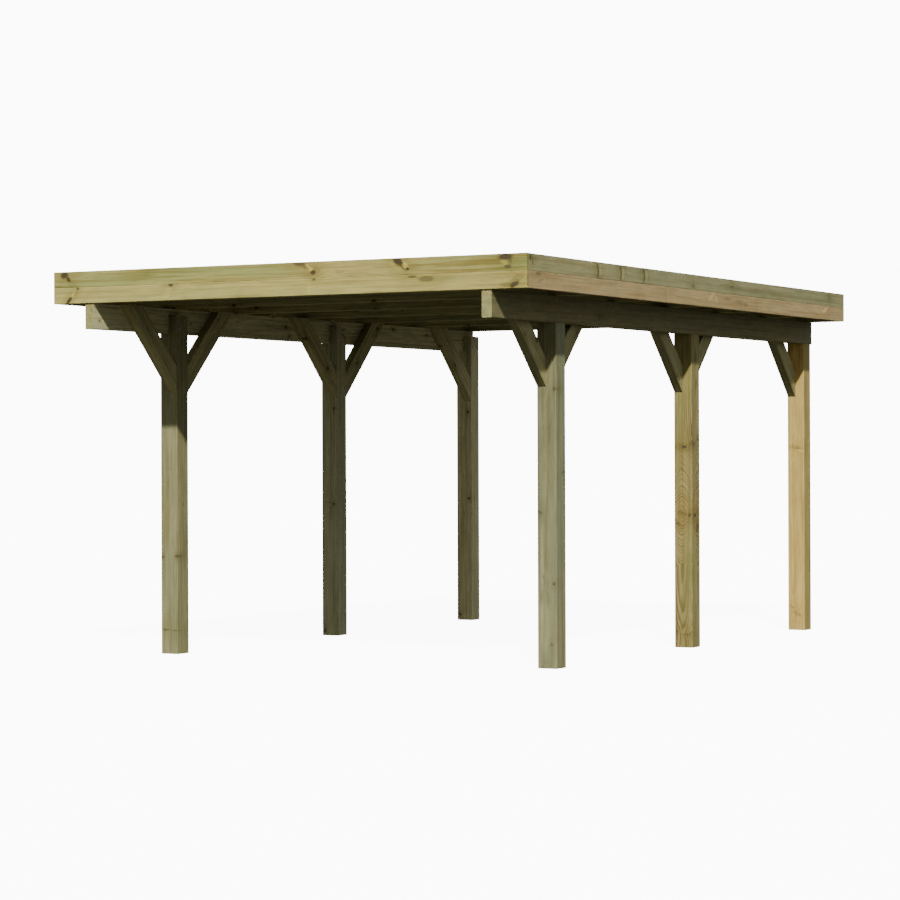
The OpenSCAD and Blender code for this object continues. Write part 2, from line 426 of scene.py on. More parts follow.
def branch_stub(along):
    """A branch cut along its length, which shows as a curved dark line with pale wood behind it."""
    return [
        knot("right", along + 0.032, 0.044, 0.018, 0.036, 0, -0.7),
        knot("right", along, 0.066, 0.009, 0.024, 28, 0.85),
        knot("right", along + 0.008, 0.040, 0.010, 0.018, 0, 0.85),
        knot("right", along + 0.002, 0.020, 0.008, 0.018, -28, 0.75),
    ]


# On the boards: distance from the board's near end, height above its lower edge, in metres.
# On the posts: distance across the face from its left or front edge, height above the ground.
KNOTS = {
    "fascia_front_lower": [
        knot("front", 0.106, 0.018, 0.027, 0.010, 45),
        knot("front", 0.134, 0.050, 0.030, 0.009, 50, -0.6),
        knot("front", 0.155, 0.060, 0.026, 0.005, 50, 0.4),
        knot("front", 0.166, 0.083, 0.011, 0.007, 0, 0.8),
        knot("front", 0.797, 0.084, 0.016, 0.010, 0, 0.9),
        knot("front", 0.775, 0.045, 0.040, 0.022, 55, -0.22),
        knot("front", 1.721, 0.085, 0.013, 0.009, 0, 0.7),
        knot("front", 1.690, 0.040, 0.012, 0.040, 0, -0.2),
        knot("front", 2.325, 0.079, 0.026, 0.007, 0, 0.7),
        knot("front", 2.408, 0.064, 0.048, 0.015, 0, 0.65, (0.14, 0.04), 0.014),
        knot("front", 2.928, 0.020, 0.030, 0.014, 25, 1.0),
        knot("front", 2.890, 0.020, 0.045, 0.014, 0, 0.4),
        knot("front", 2.940, 0.045, 0.055, 0.022, 30, 0.3),
    ],
    "fascia_front_upper": [
        knot("front", 0.074, 0.070, 0.027, 0.019, 10),
        knot("front", 0.101, 0.047, 0.019, 0.011, -40, 0.95),
        knot("front", 0.085, 0.056, 0.024, 0.006, -40, -0.8),
        knot("front", 1.630, 0.080, 0.040, 0.012, -5, 0.75),
        knot("front", 1.668, 0.062, 0.040, 0.009, -38, 0.5),
        knot("front", 1.690, 0.054, 0.034, 0.014, -38, -1.0),
        knot("front", 1.740, 0.045, 0.024, 0.018, 0, 0.25),
        knot("front", 1.716, 0.032, 0.018, 0.012, 0, 1.0),
        knot("front", 2.240, 0.072, 0.034, 0.020, -30, 1.0),
        knot("front", 2.280, 0.052, 0.034, 0.014, -42, -1.0),
        knot("front", 2.264, 0.042, 0.036, 0.004, -42, 0.75),
        knot("front", 2.225, 0.044, 0.044, 0.015, -35, -0.3),
        knot("front", 2.297, 0.031, 0.011, 0.009, 0, 1.0),
        knot("front", 2.876, 0.074, 0.042, 0.018, 0, 0.95),
        knot("front", 2.900, 0.052, 0.016, 0.024, 0, 0.45),
        knot("front", 2.874, 0.046, 0.030, 0.015, -20, -1.0),
        knot("front", 2.890, 0.024, 0.022, 0.010, 0, 0.85),
    ],
    "fascia_right_lower": [
        knot("right", 0.106, 0.080, 0.030, 0.009, 0, 0.55),
        knot("right", 0.130, 0.045, 0.040, 0.005, 12, 0.35),
        knot("right", 0.210, 0.050, 0.005, 0.035, 10, 0.25),
        knot("right", 1.686, 0.045, 0.005, 0.045, 12, 0.35),
        knot("right", 1.720, 0.040, 0.006, 0.040, 12, -0.3),
        knot("right", 2.335, 0.066, 0.060, 0.015, 25, -0.5),
        knot("right", 2.400, 0.048, 0.018, 0.030, 30, -0.4),
        knot("right", 2.560, 0.062, 0.060, 0.010, 0, 0.35),
        knot("right", 2.750, 0.050, 0.070, 0.014, 0, 0.30, (0.20, 0.05), 0.02),
        knot("right", 2.839, 0.041, 0.026, 0.014, 0, 0.4),
        knot("right", 3.010, 0.052, 0.006, 0.038, 5, 0.35),
        knot("right", 4.150, 0.066, 0.060, 0.013, 20, -0.6),
        knot("right", 4.201, 0.050, 0.008, 0.035, 10, 0.35),
    ],
    "fascia_right_upper": [
        knot("right", 0.450, 0.040, 0.620, 0.055, 0, -0.2, (0.9, 0.1), 0.0),
        knot("right", 0.019, 0.069, 0.008, 0.015, 0, 1.0),
        knot("right", 0.044, 0.049, 0.006, 0.017, 12, 0.8),
        *branch_stub(0.806),
        *branch_stub(1.092),
        *branch_stub(1.392),
        knot("right", 2.067, 0.021, 0.022, 0.010, 0, 0.7),
        knot("right", 2.067, 0.045, 0.007, 0.030, 10, 0.4),
        knot("right", 2.629, 0.045, 0.030, 0.006, 0, 0.6),
        knot("right", 2.640, 0.045, 0.006, 0.026, 10, 0.55),
        knot("right", 4.212, 0.061, 0.009, 0.022, 8, 0.7),
    ],
    "post_front_right": [
        knot("front", 0.106, 1.509, 0.009, 0.011, 0, 0.7),
        knot("front", 0.100, 0.459, 0.009, 0.010, 0, 0.7),
        knot("front", 0.084, 0.131, 0.009, 0.010, 0, 0.45),
        knot("front", 0.010, 0.845, 0.024, 0.010, -25, 0.5),
        knot("front", 0.030, 0.620, 0.013, 0.210, 0, -0.5),
        knot("front", 0.045, 0.230, 0.030, 0.180, 0, -0.35),
        knot("front", 0.060, 1.250, 0.030, 0.070, 0, 0.15),
        knot("right", 0.090, 1.060, 0.030, 0.012, 25, 0.35),
    ],
    "post_middle_right": [
        knot("front", 0.066, 1.196, 0.013, 0.009, 0, 1.0, (0.085, 0.030), 0.016),
        knot("front", 0.060, 1.196, 0.050, 0.005, 0, 0.35),
        knot("front", 0.112, 1.215, 0.012, 0.018, 0, 0.5),
        knot("front", 0.042, 0.800, 0.012, 0.012, 0, 0.0, (1.000, 0.380), -0.100),
        knot("front", 0.098, 0.790, 0.012, 0.012, 0, 0.7),
        knot("front", 0.055, 0.800, 0.030, 0.010, -12, 0.35),
        knot("front", 0.020, 0.738, 0.018, 0.009, -10, 0.6),
        knot("front", 0.040, 0.500, 0.010, 0.120, 0, 0.0, (0.30, 0.200), 0.020),
        knot("front", 0.012, 0.095, 0.012, 0.010, 0, 0.5),
        knot("front", 0.075, 0.078, 0.030, 0.006, -5, 0.4),
        knot("front", 0.103, 0.082, 0.009, 0.010, 0, 0.5),
        knot("right", 0.085, 1.243, 0.012, 0.016, 0, 0.7),
        knot("right", 0.040, 0.790, 0.016, 0.013, 0, 0.9, (0.05, 0.05), 0.01),
        knot("right", 0.073, 0.726, 0.012, 0.012, 0, 0.7),
    ],
    "post_rear_right": [
        knot("front", 0.050, 1.190, 0.050, 0.012, -6, 0.30, (0.09, 0.05), 0.014),
        knot("front", 0.038, 1.200, 0.005, 0.018, 0, 0.45),
        knot("front", 0.065, 1.190, 0.005, 0.018, 0, 0.45),
        knot("front", 0.090, 1.170, 0.024, 0.007, -20, -0.5),
        knot("front", 0.060, 0.110, 0.040, 0.010, -25, 0.25, (0.06, 0.10), 0.02),
        knot("front", 0.030, 0.150, 0.020, 0.006, -30, 0.35),
        knot("right", 0.100, 0.410, 0.014, 0.040, 0, 0.5),
    ],
    "post_front_left": [
        knot("front", 0.012, 0.566, 0.009, 0.009, 0, 0.8),
        knot("front", 0.108, 0.570, 0.009, 0.009, 0, 0.8),
        knot("front", 0.030, 0.141, 0.030, 0.006, 0, 0.6),
        knot("front", 0.095, 0.137, 0.022, 0.005, 0, 0.5),
        knot("front", 0.060, 1.080, 0.045, 0.004, -4, 0.2),
    ],
    "post_middle_left": [
        knot("front", 0.092, 1.450, 0.008, 0.009, 0, 0.8),
        knot("front", 0.088, 0.840, 0.010, 0.010, 0, 0.7),
        knot("front", 0.050, 0.850, 0.040, 0.003, -6, 0.35),
        knot("front", 0.018, 0.033, 0.012, 0.012, 0, 0.7),
        knot("right", 0.083, 1.915, 0.008, 0.020, 35, 0.6),
    ],
    "post_rear_left": [
        knot("front", 0.088, 1.445, 0.009, 0.010, 0, 0.8),
        knot("front", 0.096, 0.846, 0.010, 0.010, 0, 0.7),
        knot("front", 0.020, 0.040, 0.012, 0.012, 0, 0.7),
        knot("right", 0.080, 1.900, 0.008, 0.020, 35, 0.6),
    ],
    "beam_right": [
        knot("right", 1.270, 0.050, 0.014, 0.016, 0, 0.6),
    ],
}

KNOT_DEPTH = 0.06


def chain_knots(tree, position, node_name, marks, grain):
    """Adds a timber's listed knots one after another."""
    low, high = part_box(node_name)
    for mark in KNOTS.get(node_name, []):
        half_along, half_across = mark["half"]
        if mark["face"] == "front":
            centre = (low.x + mark["along"], low.y, low.z + mark["up"])
            turn = (0, -mark["turn"], 0)
            half = Vector((half_along, KNOT_DEPTH, half_across))
        else:
            centre = (high.x, low.y + mark["along"], low.z + mark["up"])
            turn = (mark["turn"], 0, 0)
            half = Vector((KNOT_DEPTH, half_along, half_across))
        line = Vector([abs(c) for c in GRAIN_LINES[grain]])
        widest = max(half_along, half_across)
        reach = Vector([h * 1.3 + widest * (0.5 + 1.6 * c) for h, c in zip(half, line)])
        if mark["reach"]:
            wide, tall = mark["reach"]
            reach = Vector((wide, 0.3, tall)) if mark["face"] == "front" else Vector((0.3, wide, tall))
        width = min(half_along, half_across) * 1.1 if mark["width"] is None else mark["width"]
        marks = place_group(tree, SINGLE_KNOT, {
            "Position": position,
            "Centre": centre,
            "Turn": turn,
            "Half size": half,
            "Reach": reach,
            "Strength": mark["strength"],
            "Width": width,
            **{name: marks[name] for name in KNOT_EFFECTS},
        })
    return marks


# ---------------------------------------------------------------- materials

# Base colours of the treated pine: early wood, late wood, and the tint the treatment leaves.
PINE = {
    "pale green": {
        "Pale wood": (0.45, 0.39, 0.13, 1),
        "Late wood": (0.33, 0.27, 0.07, 1),
        "Stain": (0.33, 0.34, 0.12, 1),
    },
    "mid green": {
        "Pale wood": (0.42, 0.36, 0.12, 1),
        "Late wood": (0.28, 0.22, 0.06, 1),
        "Stain": (0.28, 0.30, 0.10, 1),
    },
    "grey green": {
        "Pale wood": (0.245, 0.235, 0.12, 1),
        "Late wood": (0.18, 0.16, 0.07, 1),
        "Stain": (0.20, 0.21, 0.10, 1),
    },
    "bright grey green": {
        "Pale wood": (0.275, 0.262, 0.135, 1),
        "Late wood": (0.20, 0.18, 0.08, 1),
        "Stain": (0.225, 0.235, 0.115, 1),
    },
    "yellow": {
        "Pale wood": (0.335, 0.27, 0.10, 1),
        "Late wood": (0.15, 0.12, 0.035, 1),
        "Stain": (0.26, 0.24, 0.08, 1),
    },
    "pink": {
        "Pale wood": (0.36, 0.27, 0.13, 1),
        "Late wood": (0.27, 0.18, 0.07, 1),
        "Stain": (0.31, 0.26, 0.12, 1),
    },
    "orange": {
        "Pale wood": (0.60, 0.43, 0.13, 1),
        "Late wood": (0.45, 0.28, 0.07, 1),
        "Stain": (0.50, 0.41, 0.13, 1),
    },
    "olive": {
        "Pale wood": (0.40, 0.37, 0.17, 1),
        "Late wood": (0.28, 0.25, 0.09, 1),
        "Stain": (0.31, 0.32, 0.15, 1),
    },
    "blue olive": {
        "Pale wood": (0.40, 0.385, 0.215, 1),
        "Late wood": (0.30, 0.27, 0.12, 1),
        "Stain": (0.31, 0.34, 0.20, 1),
    },
    # painted shade: a darkened copy of the olive, for braces that face the brighter sky on the right
    "shaded olive": {
        "Pale wood": (0.29, 0.27, 0.125, 1),
        "Late wood": (0.21, 0.185, 0.068, 1),
        "Stain": (0.23, 0.24, 0.11, 1),
    },
    # painted light: a lightened copy of the olive, for the rear left post and the left beam, whose faces lie
    # in the roof's shade
    "lit olive": {
        "Pale wood": (0.53, 0.50, 0.27, 1),
        "Late wood": (0.40, 0.36, 0.16, 1),
        "Stain": (0.43, 0.44, 0.25, 1),
    },
    "dark olive": {
        "Pale wood": (0.18, 0.165, 0.075, 1),
        "Late wood": (0.125, 0.11, 0.045, 1),
        "Stain": (0.14, 0.145, 0.065, 1),
    },
}


def timber_material(node_name, grain, wood, seed, settings,
                    knot_spacing=0.45, knot_size=0.010, right_face_shade=(1, 1, 1)):
    """The finish of one timber, laid along its own grain. settings go to the treated pine, and the last
    argument
    is painted shade: a tint that darkens the face on the right against the light that falls on it."""
    material, tree, shader = new_material(f"{node_name} pine")
    low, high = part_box(node_name)
    centre = (low + high) / 2
    span = (high - low) / 2
    if grain in ("rising back", "rising forward"):
        # a brace lies above the diagonal of its box
        line = GRAIN_LINES[grain]
        centre += Vector((0, -line.y, line.z)) * (BRACE_WIDTH / 2)
        half_size = Vector((1.0, span.x, BRACE_WIDTH / 2))
    else:
        half_size = Vector({
            "across": (span.x, span.y, span.z),
            "along": (span.y, span.x, span.z),
            "upright": (span.z, span.x, span.y),
        }[grain])
    where = tree.nodes.new("ShaderNodeTexCoord").outputs["Object"]
    place = {"Vector": where, "Location": centre, "Rotation": GRAIN_TURNS[grain]}
    position = put(tree, "ShaderNodeMapping", place, vector_type="TEXTURE").outputs[0]
    normal = tree.nodes.new("ShaderNodeNewGeometry").outputs["Normal"]
    facing = maths(tree, "ABSOLUTE", vectors(tree, "DOT_PRODUCT", normal, GRAIN_LINES[grain], result="Value"))
    marks = {name: 0.0 for name in KNOT_EFFECTS}
    if node_name not in KNOTS:
        marks = place_group(tree, SCATTERED_KNOTS, {
            "Position": position,
            "Pith": settings["Pith"],
            "Spacing": knot_spacing,
            "Size": knot_size,
            "Seed": seed,
        })
    marks = chain_knots(tree, where, node_name, marks, grain)
    pine = place_group(tree, TREATED_PINE, {
        "Position": position,
        "Half size": half_size,
        "Cut end": ease(tree, facing, 0.55, 0.65),
        **{name: marks[name] for name in KNOT_EFFECTS},
        "Seed": seed,
        **PINE[wood],
        **settings,
    })
    # painted shade: faces turned to the right are darkened by the tint, standing in for less light on that
    # side
    shaded_right_face = ease(tree, split(tree, normal)["X"], 0.5, 0.7)
    colour = blend(tree, shaded_right_face, pine["Colour"], stretch(tree, pine["Colour"], right_face_shade))
    fill(tree, shader.inputs["Base Color"], colour)
    fill(tree, shader.inputs["Roughness"], pine["Roughness"])
    shader.inputs["Specular IOR Level"].default_value = 0.25
    bump = put(tree, "ShaderNodeBump", {"Height": pine["Height"], "Strength": 0.55, "Distance": 0.0012})
    fill(tree, shader.inputs["Normal"], bump.outputs[0])
    return material


def sheet_material():
    """Satin dark grey coating on rolled steel, with dust lying in the flats and faint runs down the fall."""
    material, tree, shader = new_material("dark grey coated steel")
    where = tree.nodes.new("ShaderNodeTexCoord").outputs["Object"]
    dust = cloud(tree, stretch(tree, where, (7.0, 2.2, 7.0)), 5.0, 0.65)
    runs = cloud(tree, stretch(tree, where, (60, 1.6, 60)), 3.0, 0.5)
    grit = cloud(tree, stretch(tree, where, (420, 420, 420)), 2.0, 0.6)
    film = maths(tree, "MULTIPLY", ease(tree, dust, 0.35, 0.7), ease(tree, runs, 0.3, 0.7, 0.45, 1.0))
    coating = (0.040, 0.044, 0.047, 1)
    dirt = (0.17, 0.165, 0.14, 1)
    colour = blend(tree, maths(tree, "MULTIPLY", film, 0.26), coating, dirt)
    colour = shade(tree, colour, ease(tree, grit, 0.3, 0.7, 0.9, 1.08))
    fill(tree, shader.inputs["Base Color"], colour)
    fill(tree, shader.inputs["Roughness"], ease(tree, film, 0.0, 1.0, 0.34, 0.62))
    bump = put(tree, "ShaderNodeBump", {"Height": grit, "Strength": 0.15, "Distance": 0.0003})
    fill(tree, shader.inputs["Normal"], bump.outputs[0])
    return material


def give(node_name, material):
    """Puts a finish on a CAD node."""
    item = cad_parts[node_name]
    if not item.material_slots:
        item.data.materials.append(material)
    for place in item.material_slots:
        place.material = material


# The boards that show most: grain, wood, seed, and how the log they were sawn from lay in them.
FRONT_AND_RIGHT_BOARDS = {
    "fascia_front_lower": ("across", "pale green", 0.7, {
        "Pith": (0, 0.07, -0.05),
        "Pith lean": (0, 0.004, 0.012),
        "Ring depth": 0.45,
        "Stain amount": 0.45,
        "Heart radius": 0.02,
    }),
    "fascia_front_upper": ("across", "mid green", 1.9, {
        "Pith": (0, 0.06, -0.06),
        "Pith lean": (0, 0.004, -0.010),
        "Ring depth": 0.5,
        "Stain amount": 0.9,
        "Heart radius": 0.02,
        "Streaks": 1.0,
    }),
    "fascia_right_lower": ("along", "pink", 2.3, {
        "Pith": (0, 0.07, -0.05),
        "Pith lean": (0, 0.004, 0.010),
        "Ring depth": 0.35,
        "Stain amount": 0.3,
        "Heart radius": 0.05,
    }),
    "fascia_right_upper": ("along", "grey green", 3.1, {
        "Pith": (0, 0.08, 0.03),
        "Pith lean": (0, 0.004, 0.006),
        "Ring depth": 0.4,
        "Stain amount": 0.7,
        "Heart radius": 0.02,
    }),
}
for name, (grain, wood, seed, settings) in FRONT_AND_RIGHT_BOARDS.items():
    give(name, timber_material(name, grain, wood, seed, settings))

PLAIN_BOARD = {"Pith": (0, -0.06, 0.05), "Pith lean": (0, 0.004, 0.01), "Ring depth": 0.45}
PLAIN_BOARDS = {
    "fascia_left_lower": "along",
    "fascia_left_upper": "along",
    "fascia_back_lower": "across",
    "fascia_back_upper": "across",
}
for order, (name, grain) in enumerate(PLAIN_BOARDS.items()):
    give(name, timber_material(name, grain, "pale green", 4.3 + 1.7 * order, PLAIN_BOARD, knot_size=0.014))

POST = {
    "Pith": (0, 0.012, -0.02),
    "Pith lean": (0, 0.006, 0.012),
    "Ring depth": 0.5,
    "Heart radius": 0.025,
}
# Each post: its wood, what its treated pine has of its own, and the painted shade tint of its right face,
# which darkens the face the sun lights.
POSTS = {
    "post_front_right": (
        "grey green", {"Stain": (0.195, 0.215, 0.122, 1), "Stain amount": 0.85}, (0.90, 0.91, 0.92)),
    "post_middle_right": ("yellow", {"Ring depth": 1.0, "Ring width": 0.0055}, (0.80, 0.85, 0.92)),
    "post_rear_right": ("orange", {"Ring depth": 0.5, "Stain amount": 0.25}, (0.54, 0.60, 0.66)),
    "post_front_left": ("bright grey green", {}, (0.92, 0.92, 0.86)),
    "post_middle_left": ("blue olive", {}, (1, 1, 1)),
    # painted light: the rear left post takes the lightened copy of the olive for its shaded faces
    "post_rear_left": ("lit olive", {}, (1, 1, 1)),
}
for order, (name, (wood, own, right_face_shade)) in enumerate(POSTS.items()):
    settings = {**POST, **own}
    give(name, timber_material(name, "upright", wood, 0.37 + 1.3 * order, settings, right_face_shade=right_face_shade))

BEAM = {"Pith": (0, 0.02, 0.03), "Pith lean": (0, 0.003, -0.008), "Ring depth": 0.4}
# painted light and shade: the left beam's wood is the lightened copy for its shaded inner face, and this end
# tint darkens its sunlit end back down
left_beam = {**BEAM, "End tint": (0.62, 0.62, 0.47, 1)}
right_beam = {**BEAM, "End tint": (1.95, 2.0, 1.95, 1)}
give("beam_left", timber_material("beam_left", "along", "lit olive", 7.3, left_beam, knot_size=0.008))
give("beam_right", timber_material("beam_right", "along", "dark olive", 9.4, right_beam))

BRACE = {"Pith": (0, 0.05, 0.03), "Pith lean": (0, 0.01, 0.02), "Ring depth": 0.5}
for order, name in enumerate(BRACES):
    grain = "rising forward" if name.split("_")[2] == "forward" else "rising back"
    # painted shade: the braces on the right take the darkened copy of the olive, standing in for less light
    # on them
    wood = "shaded olive" if name.endswith("right") else "olive"
    give(name, timber_material(name, grain, wood, 11.3 + 0.9 * order, BRACE, knot_spacing=0.3))

RAFTER = {"Pith": (0, 0.03, -0.05), "Pith lean": (0, 0.004, 0.01), "Ring depth": 0.5}
for order, name in enumerate(RAFTERS + CLEATS):
    grain = "across" if name in RAFTERS else "upright"
    give(name, timber_material(name, grain, "olive", 23.1 + 1.1 * order, RAFTER))

steel = sheet_material()
for name in SHEETS:
    give(name, steel)


# ---------------------------------------------------------------- screws


def screw_steel():
    """Dull zinc-plated steel, a little mottled."""
    material, tree, shader = new_material("dull zinc")
    where = tree.nodes.new("ShaderNodeTexCoord").outputs["Object"]
    bloom = cloud(tree, stretch(tree, where, (260, 260, 260)), 3.0, 0.6)
    scratch = cloud(tree, stretch(tree, where, (900, 2600, 900)), 2.0, 0.5)
    colour = blend(tree, ease(tree, bloom, 0.3, 0.7), (0.34, 0.32, 0.27, 1), (0.52, 0.50, 0.44, 1))
    fill(tree, shader.inputs["Base Color"], colour)
    shader.inputs["Metallic"].default_value = 1.0
    fill(tree, shader.inputs["Roughness"], ease(tree, bloom, 0.25, 0.75, 0.38, 0.6))
    bump = put(tree, "ShaderNodeBump", {"Height": scratch, "Strength": 0.2, "Distance": 0.0001})
    fill(tree, shader.inputs["Normal"], bump.outputs[0])
    return material


def washer_rubber():
    """Black rubber, dusty in patches."""
    material, tree, shader = new_material("black washer rubber")
    where = tree.nodes.new("ShaderNodeTexCoord").outputs["Object"]
    dust = cloud(tree, stretch(tree, where, (300, 300, 300)), 3.0, 0.6)
    colour = blend(tree, ease(tree, dust, 0.4, 0.75), (0.012, 0.012, 0.012, 1), (0.07, 0.068, 0.06, 1))
    fill(tree, shader.inputs["Base Color"], colour)
    fill(tree, shader.inputs["Roughness"], ease(tree, dust, 0.3, 0.7, 0.6, 0.85))
    return material


def start_edit(kind):
    """Clears the active mesh's selection and sets what is selected in it: VERT, EDGE or FACE."""
    bpy.ops.object.mode_set(mode="EDIT")
    bpy.ops.mesh.select_mode(type=kind)
    bpy.ops.mesh.select_all(action="DESELECT")
    bpy.ops.object.mode_set(mode="OBJECT")


def take_faces(item, wanted):
    """Opens the mesh with the wanted faces selected."""
    start_edit("FACE")
    for face in item.data.polygons:
        face.select = wanted(face)
    bpy.ops.object.mode_set(mode="EDIT")


def take_edges(item, wanted):
    """Opens the mesh with the wanted edges selected, by the places of their two ends."""
    start_edit("EDGE")
    corners = item.data.vertices
    for edge in item.data.edges:
        edge.select = wanted(*[corners[index].co for index in edge.vertices])
    bpy.ops.object.mode_set(mode="EDIT")


def take_corners(item, wanted):
    """Opens the mesh with the wanted corners selected, by their places."""
    start_edit("VERT")
    for corner in item.data.vertices:
        corner.select = wanted(corner.co)
    bpy.ops.object.mode_set(mode="EDIT")


def from_axis(point):
    """A point's distance from the screw's axis."""
    return math.hypot(point.x, point.y)


def turned_head(name, radius, height, rim, recess, sides=24):
    """A screw head facing +Z on the plane z = 0: a rounded rim and a six-lobed recess for the driver."""
    bpy.ops.object.select_all(action="DESELECT")
    middle = (0, 0, height / 2)
    bpy.ops.mesh.primitive_cylinder_add(vertices=sides, radius=radius, depth=height, location=middle)
    head = bpy.context.object
    head.name = name
    bpy.ops.object.transform_apply(location=True, rotation=True, scale=True)
    take_edges(head, lambda a, b: min(a.z, b.z) > height * 0.9)
    bpy.ops.mesh.bevel(offset=rim, segments=3, profile=0.6)
    bpy.ops.object.mode_set(mode="OBJECT")
    top = height * 0.99
    take_faces(head, lambda face: face.center.z > top and len(face.vertices) == sides)
    bpy.ops.mesh.inset(thickness=radius - rim - recess)
    bpy.ops.mesh.extrude_region_move(TRANSFORM_OT_translate={"value": (0, 0, -height * 0.6)})
    bpy.ops.object.mode_set(mode="OBJECT")
    lobe = math.radians(60)
    take_corners(head, lambda co: from_axis(co) < recess * 1.05 and co.z > height * 0.2
                 and abs((math.atan2(co.y, co.x) / lobe + 0.5) % 1 - 0.5) < 0.3)
    bpy.ops.transform.resize(value=(1.3, 1.3, 1), center_override=(0, 0, 0))
    bpy.ops.object.mode_set(mode="OBJECT")
    bpy.ops.object.shade_smooth_by_angle(angle=math.radians(35))
    head.data.materials.append(DULL_ZINC)
    return head


def hex_head():
    """A roofing screw facing +Z: a rubber washer, a flange, and a six-sided head with its corners eased."""
    bpy.ops.object.select_all(action="DESELECT")
    bpy.ops.mesh.primitive_cylinder_add(vertices=20, radius=8 * MM, depth=2.2 * MM, location=(0, 0, 1.1 * MM))
    washer = bpy.context.object
    bpy.ops.object.transform_apply(location=True, rotation=True, scale=True)
    take_edges(washer, lambda a, b: min(a.z, b.z) > 2 * MM)
    bpy.ops.mesh.bevel(offset=0.8 * MM, segments=2, profile=0.6)
    bpy.ops.object.mode_set(mode="OBJECT")
    washer.data.materials.append(BLACK_RUBBER)
    bpy.ops.object.select_all(action="DESELECT")
    middle = (0, 0, 4.3 * MM)
    bpy.ops.mesh.primitive_cylinder_add(vertices=6, radius=4.6 * MM, depth=4.6 * MM, location=middle)
    head = bpy.context.object
    bpy.ops.object.transform_apply(location=True, rotation=True, scale=True)
    take_faces(head, lambda face: face.normal.z < -0.9)
    bpy.ops.mesh.extrude_region_move(TRANSFORM_OT_translate={"value": (0, 0, -0.9 * MM)})
    bpy.ops.transform.resize(value=(1.4, 1.4, 1), center_override=(0, 0, 0))
    bpy.ops.object.mode_set(mode="OBJECT")
    take_edges(head, lambda a, b: min(a.z, b.z) > 6.5 * MM)
    bpy.ops.mesh.bevel(offset=0.7 * MM, segments=2, profile=0.5)
    bpy.ops.object.mode_set(mode="OBJECT")
    head.data.materials.append(DULL_ZINC)
    washer.select_set(True)
    bpy.ops.object.join()
    head.name = "roofing_screw"
    bpy.ops.object.shade_smooth_by_angle(angle=math.radians(30))
    return head


def set_screws(name, model, places):
    """Copies a screw to each place, a point and the way its head faces, and joins the row into one piece."""
    row = []
    for point, facing in places:
        copy = model.copy()
        copy.data = model.data.copy()
        bpy.context.scene.collection.objects.link(copy)
        copy.location = point
        copy.rotation_euler = Vector(facing).to_track_quat("Z", "Y").to_euler()
        row.append(copy)
    bpy.ops.object.select_all(action="DESELECT")
    for copy in row:
        copy.select_set(True)
    bpy.context.view_layer.objects.active = row[0]
    bpy.ops.object.transform_apply(location=True, rotation=True, scale=True)
    bpy.ops.object.join()
    piece = bpy.context.object
    piece.name = name
    piece.data.name = name
    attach(piece, "root")
    return piece


def post_screws(washer_screw):
    """Two washer-head screws from each post's tongue into the beam beside it."""
    for side, inward in (("left", 1), ("right", -1)):
        beam_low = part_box(f"beam_{side}")[0]
        for place in POST_PLACES:
            low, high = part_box(f"post_{place}_{side}")
            inner_x = high.x if side == "left" else low.x
            middle_y = (low.y + high.y) / 2
            places = [
                ((inner_x, middle_y - 25 * MM, beam_low.z + 30 * MM), (inward, 0, 0)),
                ((inner_x, middle_y + 25 * MM, beam_low.z + 80 * MM), (inward, 0, 0)),
            ]
            set_screws(f"post_screws_{place}_{side}", washer_screw, places)


def brace_screws(flush_screw):
    """Two screws from each brace's head into the beam, and one up through its lower edge into the post."""
    for name in BRACES:
        low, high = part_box(name)
        inner_x, inward = (high.x, 1) if name.endswith("left") else (low.x, -1)
        forward = -1 if "forward" in name else 1
        below = Vector((0, forward, -1)).normalized()
        along = Vector((0, forward, 1)).normalized()
        # the lower edge of a brace is the diagonal of its box
        edge_middle = (low + high) / 2
        places = [(edge_middle + along * -0.215, below)]
        for up, aside in ((0.165, -BRACE_WIDTH * 0.32), (0.225, -BRACE_WIDTH * 0.68)):
            point = edge_middle + along * up + below * aside
            places.append(((inner_x, point.y, point.z), (inward, 0, 0)))
        set_screws(name.replace("brace", "brace_screws"), flush_screw, places)


def board_screws(flush_screw):
    """Screws from inside: the first rafter to the front boards, the rafters' ends, and the cleats."""
    low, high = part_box("rafter_1")
    count = 6
    step = (high.x - low.x) / count
    places = [
        ((low.x + step * (i + 0.5), high.y, low.z + up), (0, 1, 0))
        for i in range(count)
        for up in (30 * MM, 115 * MM)
    ]
    set_screws("front_board_screws", flush_screw, places)
    for side, way in (("left", 1), ("right", -1)):
        places = []
        for name in RAFTERS[1:]:
            low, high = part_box(name)
            end_x = low.x if side == "left" else high.x
            places += [((end_x + way * 28 * MM, low.y, low.z + up), (0, -1, 0)) for up in (18 * MM, 50 * MM)]
        set_screws(f"rafter_end_screws_{side}", flush_screw, places)
    places = []
    for name in CLEATS:
        low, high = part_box(name)
        places.append((((low.x + high.x) / 2, low.y, high.z - 25 * MM), (0, -1, 0)))
    set_screws("cleat_screws", flush_screw, places)


def roof_screws(roofing_screw):
    """A row of screws over each rafter, in every other valley of each sheet."""
    first_left, second_left, third_left = [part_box(name)[0].x for name in SHEETS]
    cover = third_left - second_left
    pitch = cover / RIBS_PER_SHEET
    first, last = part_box(RAFTERS[0]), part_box(RAFTERS[-1])
    fall = (first[1].z - last[1].z) / (last[0].y - first[0].y)
    for order, name in enumerate(SHEETS):
        left = first_left + cover * order
        places = []
        for rafter in RAFTERS:
            low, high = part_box(rafter)
            middle_y = (low.y + high.y) / 2
            top = high.z - fall * (high.y - low.y) / 2 + SHEET_TOP
            places += [((left + pitch * valley, middle_y, top), (0, fall, 1)) for valley in (1, 3, 5)]
        set_screws(name.replace("sheet", "screws"), roofing_screw, places)


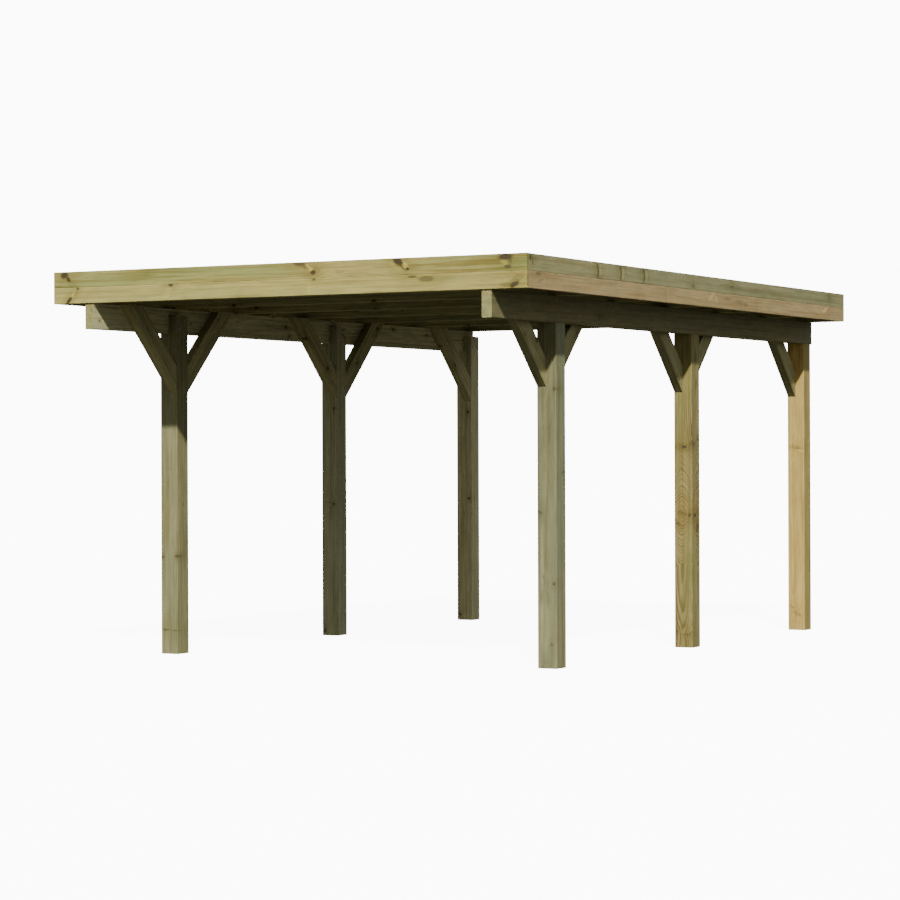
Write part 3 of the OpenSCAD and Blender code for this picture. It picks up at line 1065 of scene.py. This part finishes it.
DULL_ZINC = screw_steel()
BLACK_RUBBER = washer_rubber()
washer_screw = turned_head("washer_screw", 10 * MM, 3.5 * MM, 2.2 * MM, 3.4 * MM)
flush_screw = turned_head("flush_screw", 5.5 * MM, 0.9 * MM, 0.5 * MM, 2.2 * MM)
roofing_screw = hex_head()
post_screws(washer_screw)
brace_screws(flush_screw)
board_screws(flush_screw)
roof_screws(roofing_screw)
for model in (washer_screw, flush_screw, roofing_screw):
    bpy.data.objects.remove(model)


# ---------------------------------------------------------------- floor, light and camera


def lay_floor():
    """A pale floor that glows white to the camera and throws no light back on the timber."""
    bpy.ops.object.select_all(action="DESELECT")
    bpy.ops.mesh.primitive_plane_add(size=120, location=(0, 0, 0))
    floor = bpy.context.object
    floor.name = "studio_floor"
    material, _, shader = new_material("pale studio floor")
    shader.inputs["Base Color"].default_value = (0.82, 0.82, 0.81, 1)
    shader.inputs["Roughness"].default_value = 0.9
    shader.inputs["Emission Color"].default_value = (1, 1, 1, 1)
    shader.inputs["Emission Strength"].default_value = 9.8
    floor.data.materials.append(material)
    floor.visible_diffuse = False
    floor.visible_glossy = False
    return floor


def hang_lights():
    """One soft sun from the front right."""
    sun_travel = Vector((-0.65, 1.07, -1.0))
    lamp = bpy.data.lights.new("key sun", "SUN")
    lamp.energy = 5.6
    lamp.angle = math.radians(1.5)
    lamp.color = (1.0, 0.97, 0.9)
    key = bpy.data.objects.new("key sun", lamp)
    key.rotation_euler = sun_travel.to_track_quat("-Z", "Y").to_euler()
    bpy.context.scene.collection.objects.link(key)


def make_sky():
    """Light from above and dim from below, and plain white where the camera looks past the floor."""
    world = bpy.data.worlds.new("plain studio")
    bpy.context.scene.world = world
    world.use_nodes = True
    tree = world.node_tree
    tree.nodes.clear()
    towards = split(tree, tree.nodes.new("ShaderNodeTexCoord").outputs["Generated"])
    height = maths(tree, "MULTIPLY_ADD", towards["X"], 0.32, towards["Z"])
    sky = blend(tree, ease(tree, height, -0.02, 0.45), (0.22, 0.22, 0.18, 1), (1.0, 1.0, 0.98, 1))
    light = put(tree, "ShaderNodeBackground", {"Color": sky, "Strength": 0.60})
    seen = put(tree, "ShaderNodeBackground", {"Color": (1, 1, 1, 1), "Strength": 11.0})
    camera_ray = tree.nodes.new("ShaderNodeLightPath").outputs["Is Camera Ray"]
    choose = put(tree, "ShaderNodeMixShader", {0: camera_ray, 1: light.outputs[0], 2: seen.outputs[0]})
    out = tree.nodes.new("ShaderNodeOutputWorld")
    tree.links.new(choose.outputs[0], out.inputs["Surface"])


def set_camera():
    """A long lens at standing height, off the front right corner."""
    lens = bpy.data.cameras.new("studio camera")
    lens.sensor_width = 36
    lens.lens = 111.13
    camera = bpy.data.objects.new("studio camera", lens)
    camera.location = (8.032, -14.866, 1.180)
    camera.rotation_euler = (math.radians(90.006), math.radians(0.202), math.radians(28.970))
    lens.clip_end = 200
    bpy.context.scene.collection.objects.link(camera)
    bpy.context.scene.camera = camera


lay_floor()
hang_lights()
make_sky()
set_camera()
